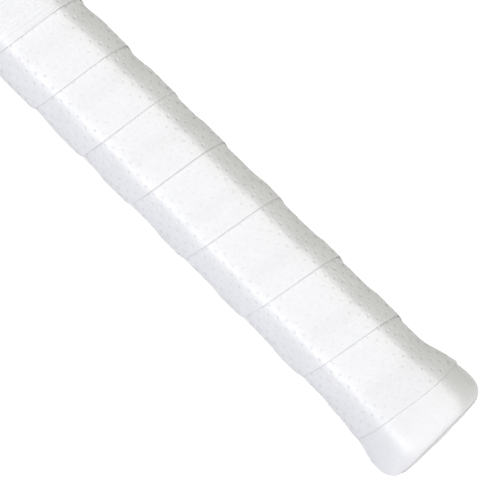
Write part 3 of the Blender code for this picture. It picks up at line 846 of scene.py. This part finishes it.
def tape_surface():
    """Tacky white polyurethane: pore grain, drag lines along the strip, a greyer cut edge that also
    carries painted shade of the seam, and painted shade inside the pits.
    """
    made = Surface("tape_polyurethane", (0.88, 0.88, 0.885), 0.42)
    mottle = made.noise(160, 3.0)
    color = made.vary_color(mottle, (0.985, 0.985, 0.98), 1.0)
    across = made.tree.nodes.new("ShaderNodeSeparateXYZ")
    made.tree.links.new(made.place(tape_map=True), across.inputs["Vector"])
    # Darker band along the strip's butt-side edge: a greyer cut edge together with painted shade of
    # the seam's dark line.
    edge = made.ranged(across.outputs["Y"], 0.0, 1.0, 0.00002, 0.00030)
    made.color = (1, 1, 1)
    color = made.multiply(color, made.vary_color(edge, 0.68, 1.0, 0.0, 1.0))
    color = made.multiply(color, made.vary_color(made.noise(1100, 2.0), 0.965, 1.0))
    # The colour is darkened inside the perforations by their depth mask, which is painted shade in
    # the pits. Their roughness rises too.
    pit = made.tree.nodes.new("ShaderNodeAttribute")
    pit.attribute_name = "pit"
    made.set_color(made.multiply(color, made.vary_color(pit.outputs["Fac"], 1.0, 0.93, 0.0, 1.0)))
    satin = made.ranged(made.noise(420, 3.0), 0.36, 0.50)
    rough = made.math("ADD", satin, made.ranged(pit.outputs["Fac"], 0.0, 0.35, 0.0, 1.0))
    made.tree.links.new(rough, made.shader.inputs["Roughness"])
    drag = made.noise(1.0, 3.0, stretch=(110, 2600, 1), tape_map=True)
    made.bump(drag, 0.000010)
    made.bump(made.cells(5200), 0.000008)
    made.bump(made.noise(2600, 2.0), 0.000012)
    made.bump(made.noise(900, 2.0), 0.00009)
    pulled_from = (SMOOTH_TOP_TURN + TAPE_LEAD_IN) * TURN_LENGTH
    pulled = made.ranged(across.outputs["X"], 0.0, 1.0, pulled_from - DRAG_LEAD, pulled_from)
    streaks = made.noise(1.0, 2.0, stretch=(70, 1300, 1), tape_map=True)
    made.bump(made.math("MULTIPLY", streaks, pulled), 0.0004)
    return made.material


def cushion_surface():
    """Grey-white foamed polyurethane with a leather-like press."""
    made = Surface("cushion_polyurethane", (0.74, 0.735, 0.72), 0.62)
    made.set_color(made.vary_color(made.noise(120, 4.0), 0.93, 1.0))
    made.set_roughness(made.noise(500), 0.55, 0.72)
    made.bump(made.cells(1300), 0.00006)
    made.bump(made.noise(4200, 3.0), 0.00002)
    return made.material


def cap_surface():
    """Moulded white nylon with a spark-eroded grain."""
    made = Surface("cap_nylon", (0.86, 0.86, 0.855), 0.45)
    made.set_color(made.vary_color(made.noise(90, 3.0), 0.965, 1.0))
    made.set_roughness(made.noise(900, 2.0), 0.40, 0.55)
    made.bump(made.noise(3800, 4.0), 0.00003)
    made.bump(made.noise(260, 1.0), 0.00003)
    return made.material


def door_surface():
    made = Surface("door_nylon", (0.72, 0.73, 0.74), 0.4)
    made.set_color(made.vary_color(made.noise(110, 3.0), 0.96, 1.0))
    made.set_roughness(made.noise(700, 2.0), 0.34, 0.50)
    made.bump(made.noise(3200, 4.0), 0.000035)
    return made.material


def disc_surface():
    """A satin inlay, turned in fine circles round the handle's axis."""
    made = Surface("inlay_satin", (0.60, 0.62, 0.64), 0.25)
    centre = made.tree.nodes.new("ShaderNodeVectorMath")
    centre.operation = "SUBTRACT"
    made.tree.links.new(made.place(), centre.inputs[0])
    centre.inputs[1].default_value = (BUTT_X, 0, AXIS_Z)
    wave = made.node("ShaderNodeTexWave", Vector=centre.outputs[0], Scale=1400.0, Distortion=0.6)
    wave.wave_type = "RINGS"
    wave.rings_direction = "X"
    made.set_color(made.vary_color(made.noise(300, 2.0), 0.95, 1.0))
    made.set_roughness(wave.outputs["Fac"], 0.20, 0.36, 0.0, 1.0)
    made.bump(wave.outputs["Fac"], 0.000008)
    made.bump(made.noise(1500, 2.0), 0.000008)
    return made.material


def graphite_surface():
    """Clear-coated carbon: a fine twill under the lacquer, with sanded streaks."""
    made = Surface("graphite_laminate", (0.035, 0.036, 0.040), 0.32)
    made.shader.inputs["Coat Weight"].default_value = 0.5
    made.shader.inputs["Coat Roughness"].default_value = 0.08
    one_way = made.waves(330, 0.4, turn=(0, 0, radians(45)))
    other_way = made.waves(330, 0.4, turn=(0, 0, radians(-45)))
    weave = made.math("MULTIPLY", one_way, other_way)
    made.set_color(made.vary_color(weave, 0.55, (2.4, 2.4, 2.5), 0.05, 0.8))
    made.set_roughness(made.noise(600, 3.0, stretch=(0.15, 1, 1)), 0.26, 0.42)
    made.bump(weave, 0.00002, 0.6)
    made.bump(made.noise(2400, 2.0, stretch=(0.1, 1, 1)), 0.000006)
    return made.material


def foam_surface(name, color, pore_scale, pore_depth):
    """Moulded foam: closed cells with darker pores."""
    made = Surface(name, color, 0.85)
    pores = made.cells(pore_scale)
    blotches = made.vary_color(made.noise(140, 3.0), 0.90, 1.04)
    made.color = (1, 1, 1)
    made.set_color(made.multiply(blotches, made.vary_color(pores, 0.72, 1.0, 0.02, 0.35)))
    made.set_roughness(pores, 0.92, 0.74, 0.0, 0.5)
    made.bump(pores, pore_depth)
    made.bump(made.noise(pore_scale * 2.5, 3.0), pore_depth / 3)
    return made.material


def adhesive_surface():
    """Double-sided tape: a waxy film with trapped air and a faint scrim."""
    made = Surface("adhesive_film", (0.86, 0.83, 0.68), 0.5)
    scrim = made.math("MULTIPLY", made.waves(260), made.waves(260, turn=(0, 0, radians(90))))
    bubbles = made.cells(420)
    made.set_color(made.vary_color(bubbles, 0.86, 1.0, 0.05, 0.4))
    made.set_roughness(made.noise(800, 2.0), 0.38, 0.62)
    made.bump(scrim, 0.00002)
    made.bump(bubbles, 0.00003)
    return made.material


def film_surface():
    """Glossy finishing film, stretched round the grip, with fine tension lines."""
    made = Surface("finishing_film", (0.84, 0.845, 0.855), 0.24)
    made.shader.inputs["Coat Weight"].default_value = 0.3
    made.shader.inputs["Coat Roughness"].default_value = 0.12
    lines = made.noise(900, 3.0, stretch=(1, 0.12, 0.12))
    made.set_color(made.vary_color(made.noise(200, 2.0), 0.965, 1.0))
    made.set_roughness(made.noise(500, 3.0), 0.18, 0.32)
    made.bump(lines, 0.00002)
    made.bump(made.noise(150, 2.0), 0.00005)
    return made.material


def rubber_surface():
    """Soft moulded rubber with a matt bloom and rubbed high spots."""
    made = Surface("collar_rubber", (0.70, 0.70, 0.695), 0.62)
    made.set_color(made.vary_color(made.noise(180, 4.0), 0.93, 1.02))
    made.set_roughness(made.noise(650, 3.0), 0.52, 0.74)
    made.bump(made.noise(5200, 4.0), 0.00003)
    made.bump(made.cells(2100), 0.000012)
    return made.material


def steel_surface():
    """Bright drawn wire with die lines and a trace of oxide."""
    made = Surface("staple_steel", (0.62, 0.62, 0.63), 0.32, 1.0)
    made.set_color(made.vary_color(made.noise(900, 3.0), (0.82, 0.79, 0.75), 1.0))
    made.set_roughness(made.noise(1600, 3.0, stretch=(1, 0.1, 0.1)), 0.24, 0.46)
    made.bump(made.noise(5200, 2.0, stretch=(1, 0.08, 0.08)), 0.00001)
    return made.material


# ---- Stage, lights and camera --------------------------------------------------------------------
CAMERA_HEIGHT = 1.5
VIEW_CENTRE_DISTANCE = 0.0792
VIEW_CENTRE_Y = -0.0006
VIEW_WIDTH = 0.1484
CAMERA_ROLL = 44.95
CAMERA_TILT = 2.6
FLOOR_REACH = 12.0
LIGHT_DISTANCE = 1.1
LIGHT_LENGTH = 1.4
PANEL_SIZE = (0.6, 0.4)
FLOOR_DROP = 0.0002
WORLD_STRENGTH = 0.06
AIM = Vector((0.02, 0, AXIS_Z))


def make_floor():
    """A plain white floor. It doesn't light the object, so the flanks keep their shading."""
    mesh = bpy.data.meshes.new("floor")
    reach = FLOOR_REACH
    mesh.from_pydata([(-reach, -reach, 0), (reach, -reach, 0), (reach, reach, 0),
                      (-reach, reach, 0)], [], [(0, 1, 2, 3)])
    surface = Surface("floor_paper", (0.9, 0.9, 0.9), 0.9)
    surface.shader.inputs["Emission Color"].default_value = (1, 1, 1, 1)
    surface.shader.inputs["Emission Strength"].default_value = 0.85
    mesh.materials.append(surface.material)
    item = bpy.data.objects.new("floor", mesh)
    bpy.context.scene.collection.objects.link(item)
    item.location.z = CAD_BOX[0].z - FLOOR_DROP
    item.visible_diffuse = False


def soft_light(name, away, size, power, color):
    """A soft panel that faces the handle from the given direction; size runs along, then across."""
    data = bpy.data.lights.new(name, "AREA")
    data.shape = "RECTANGLE"
    data.size, data.size_y = size
    data.energy = power
    data.color = color
    item = bpy.data.objects.new(name, data)
    bpy.context.scene.collection.objects.link(item)
    item.location = AIM + away * LIGHT_DISTANCE
    item.rotation_euler = away.to_track_quat("Z", "Y").to_euler()
    item.visible_camera = False


def across_handle(tilt):
    """The direction tilted from straight above towards +Y."""
    return Vector((0, sin(radians(tilt)), cos(radians(tilt))))


def along_handle(elevation, side):
    """The direction over the butt (side 1) or the throat (side -1), raised by the elevation."""
    return Vector((side * cos(radians(elevation)), 0, sin(radians(elevation))))


def make_lights():
    soft_light("key_strip", across_handle(-36), (LIGHT_LENGTH, 0.28), 11.3,
               (0.935, 0.943, 1.0))
    soft_light("fill_strip", across_handle(42), (LIGHT_LENGTH, 0.30), 5.65,
               (1.0, 0.99, 0.89))
    soft_light("butt_panel", along_handle(16, 1), PANEL_SIZE, 3.9, (0.99, 0.98, 1.0))
    soft_light("throat_panel", along_handle(45, -1), PANEL_SIZE, 2.0, (0.97, 0.96, 1.0))
    world = bpy.data.worlds.new("studio")
    world.use_nodes = True
    world.node_tree.nodes["Background"].inputs[0].default_value = (0.96, 0.98, 1.0, 1)
    world.node_tree.nodes["Background"].inputs[1].default_value = WORLD_STRENGTH
    bpy.context.scene.world = world


def make_camera():
    data = bpy.data.cameras.new("camera")
    data.sensor_width = 36
    data.lens = data.sensor_width * CAMERA_HEIGHT / VIEW_WIDTH
    data.clip_start, data.clip_end = 0.05, 50
    item = bpy.data.objects.new("camera", data)
    bpy.context.scene.collection.objects.link(item)
    tilt = Matrix.Rotation(radians(CAMERA_TILT), 3, "X")
    centre = Vector((BUTT_X - VIEW_CENTRE_DISTANCE, VIEW_CENTRE_Y, AXIS_Z))
    item.location = centre + tilt @ Vector((0, 0, CAMERA_HEIGHT))
    item.rotation_euler = (tilt @ Matrix.Rotation(radians(CAMERA_ROLL), 3, "Z")).to_euler()
    bpy.context.scene.camera = item


# ---- Assembly ------------------------------------------------------------------------------------
def add_piece(item, body, slot, *replaced):
    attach(item, body)
    if replaced:
        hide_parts(*replaced)


def dress_node(name, surface):
    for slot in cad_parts[name].material_slots:
        slot.material = surface


def make_handle():
    cap = cap_surface()
    film = film_surface()
    graphite = graphite_surface()
    plug_foam = foam_surface("plug_foam", (0.13, 0.13, 0.14), 1500, 0.00008)
    tape = make_grip_tape(tape_surface())
    add_piece(tape, "handle", "tape", "grip_tape")
    add_piece(make_butt_cap(cap), "handle", "cap_plastic", "butt_cap")
    cushion = make_cushion_grip(cushion_surface())
    add_piece(cushion, "handle", "cushion_foam", "cushion_grip")
    end_tape_level = float(cushion_level(CUSHION_TAPE[0])) - 0.0002
    add_piece(make_band("cushion_film", CUSHION_TAPE, (end_tape_level, end_tape_level + FILM_GAP),
                        film), "handle", "finishing_film", "cushion_end_tape")
    add_piece(make_band("end_band_film", END_BAND, END_BAND_LEVELS, film), "handle",
              "finishing_film", "grip_tape_end_band")
    for side_name, side in (("left", 1), ("right", -1)):
        add_piece(make_shaft_tube(f"carbon_tube_{side_name}", side, graphite), "handle",
                  "graphite", f"shaft_tube_{side_name}")
        add_piece(make_tube_plug(f"foam_plug_{side_name}", side, plug_foam), "handle",
                  "plug_foam", f"tube_plug_{side_name}")


def make_door():
    plastic = door_surface()
    add_piece(make_trap_door(plastic), "door", "door_plastic", "trap_door")
    for name, sign in (("door_leg_upper", 1), ("door_leg_lower", -1)):
        add_piece(make_door_leg(name, sign, plastic), "door", "door_plastic")
    add_piece(make_door_disc(disc_surface()), "door", "disc_plastic", "trap_door_disc")


def dress_kept_nodes():
    foam = foam_surface("pallet_foam", (0.58, 0.53, 0.40), 2100, 0.00005)
    adhesive = adhesive_surface()
    steel = steel_surface()
    for half in ("upper", "lower"):
        dress_node(f"pallet_{half}", foam)
        dress_node(f"adhesive_strip_{half}", adhesive)
        dress_node(f"butt_cap_staple_{half}", steel)
    dress_node("cushion_staple", steel)


bpy.context.scene.view_settings.view_transform = "Standard"
make_camera()
make_floor()
make_lights()
make_handle()
make_door()
add_piece(make_collar(rubber_surface()), "collar", "collar_rubber", "rubber_collar")
dress_kept_nodes()
